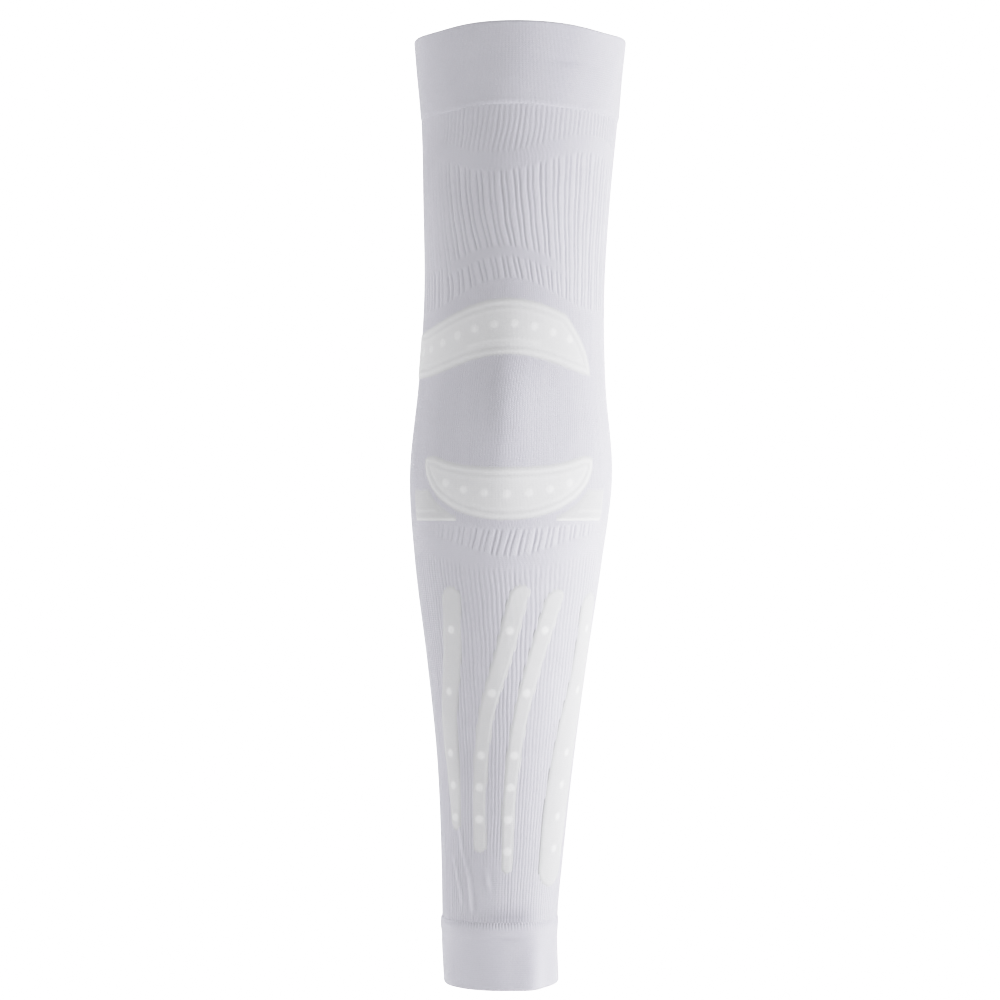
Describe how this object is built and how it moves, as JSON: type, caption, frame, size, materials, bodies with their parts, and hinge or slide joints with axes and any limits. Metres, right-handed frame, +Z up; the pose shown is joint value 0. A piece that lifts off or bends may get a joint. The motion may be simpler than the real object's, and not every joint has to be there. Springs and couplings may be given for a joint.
{
  "type": "arm compression sleeve",
  "caption": "White knitted compression sleeve for the whole arm, open at both ends, with plain cuffs, ribbed bands and raised support bands and strips at elbow and forearm.",
  "frame": {"origin": "centre of the upper cuff's mouth, where the upper arm goes in", "axes": "+Z up out of the upper mouth along the arm, -Y the way the point of the elbow faces, +X to the right as the elbow side is looked at"},
  "size_m": [0.0949, 0.0982, 0.414],
  "materials": {
    "cuff_knit": "smooth double-layer knit welt, matt, cool white",
    "rib_knit": "ribbed nylon and elastane knit, matt, cool white",
    "raised_knit": "raised close knit with a soft surface, matt, warm white"
  },
  "bodies": {
    "root": {"upper_cuff": "cuff_knit", "upper_arm_knit": "rib_knit", "elbow_knit": "rib_knit", "forearm_knit": "rib_knit", "lower_cuff": "cuff_knit", "upper_elbow_band": "raised_knit", "lower_elbow_band": "raised_knit", "elbow_wing_left": "raised_knit", "elbow_wing_right": "raised_knit", "forearm_strip_1": "raised_knit", "forearm_strip_2": "raised_knit", "forearm_strip_3": "raised_knit", "forearm_strip_4": "raised_knit"}
  },
  "joints": []
}
